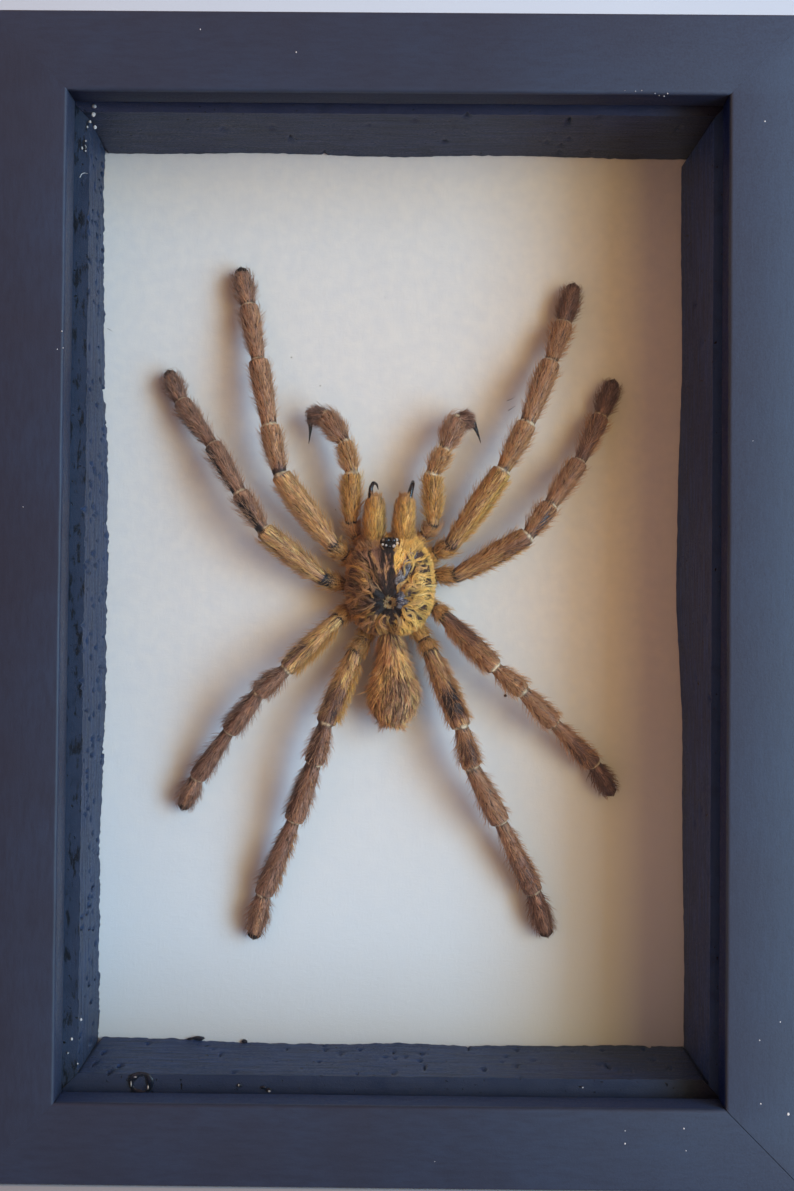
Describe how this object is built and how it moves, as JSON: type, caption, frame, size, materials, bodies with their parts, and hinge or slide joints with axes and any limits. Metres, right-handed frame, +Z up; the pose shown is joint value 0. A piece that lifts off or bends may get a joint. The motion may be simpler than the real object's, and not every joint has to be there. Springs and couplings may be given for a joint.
{
  "type": "framed tarantula specimen",
  "caption": "Dried golden-brown tarantula spread on white paper behind glass in a deep black-painted wooden box frame that stands or hangs.",
  "frame": {"origin": "middle of the footprint, on the surface that the frame stands on", "axes": "+Z up along the frame's height, +X to the right seen from the front, the glass faces -Y"},
  "size_m": [0.1182, 0.032, 0.1676],
  "materials": {
    "frame_paint": "satin blue-black paint over wood, brush marks",
    "spacer_paint": "rough black paint over cut strip, pores and torn edge",
    "clear_glass": "clear, thin",
    "white_paper": "matt fibrous white",
    "back_board": "bare pressed fibre board",
    "zinc_steel": "zinc plated",
    "golden_hair": "dried cuticle under golden hair, black beneath",
    "leg_hair": "dried cuticle under tan and brown hair, pale rings at the joints"
  },
  "bodies": {
    "root": {"frame_rail_top": "frame_paint", "frame_rail_bottom": "frame_paint", "frame_rail_left": "frame_paint", "frame_rail_right": "frame_paint", "spacer_top": "spacer_paint", "spacer_bottom": "spacer_paint", "spacer_left": "spacer_paint", "spacer_right": "spacer_paint", "glass_pane": "clear_glass", "backing_paper": "white_paper", "backing_board": "back_board", "bent_tab_1": "zinc_steel", "bent_tab_2": "zinc_steel", "bent_tab_3": "zinc_steel", "bent_tab_4": "zinc_steel", "bent_tab_5": "zinc_steel", "bent_tab_6": "zinc_steel", "bent_tab_7": "zinc_steel", "bent_tab_8": "zinc_steel", "sawtooth_hanger": "zinc_steel", "cephalothorax": "golden_hair", "abdomen": "golden_hair", "chelicera_left": "golden_hair", "chelicera_right": "golden_hair", "pedipalp_left": "golden_hair", "pedipalp_right": "golden_hair", "leg_1_left": "leg_hair", "leg_2_left": "leg_hair", "leg_3_left": "leg_hair", "leg_4_left": "leg_hair", "leg_1_right": "leg_hair", "leg_2_right": "leg_hair", "leg_3_right": "leg_hair", "leg_4_right": "leg_hair"}
  },
  "joints": []
}
